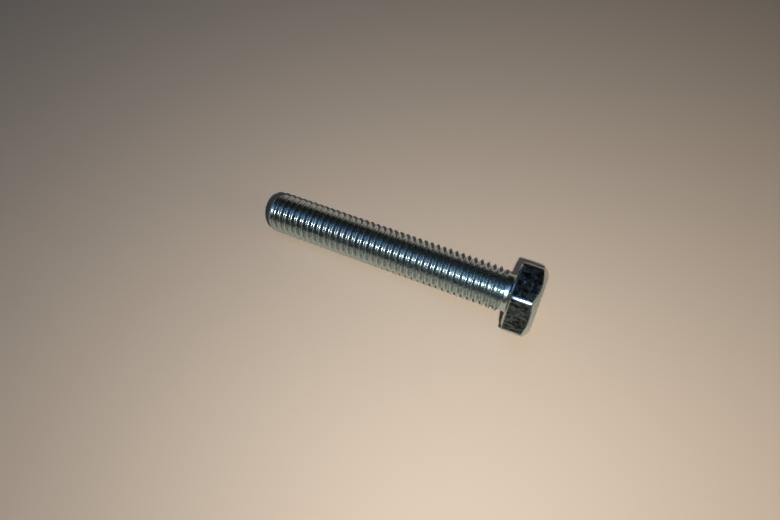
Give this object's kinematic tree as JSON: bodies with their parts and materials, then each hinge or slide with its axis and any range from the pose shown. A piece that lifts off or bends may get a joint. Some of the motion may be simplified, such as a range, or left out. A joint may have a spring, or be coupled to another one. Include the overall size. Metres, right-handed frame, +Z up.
{
  "type": "hex head screw",
  "caption": "Zinc-plated hex head machine screw, threaded up to its head, lying at rest on one flat of the head and the end of its thread.",
  "frame": {"origin": "the point of the table under the middle of the lying screw's box", "axes": "+X from the point to the head along the table, +Z up off the table. The screw's own axis rises 2.92 degrees from point to head."},
  "size_m": [0.0556, 0.0146, 0.0131],
  "materials": {
    "zinc_plated_steel": "bright blue-passivated zinc plating, mirror-like on the rolled thread, mottled on the forged head"
  },
  "bodies": {
    "root": {"hex_head_screw": "zinc_plated_steel"}
  },
  "joints": []
}
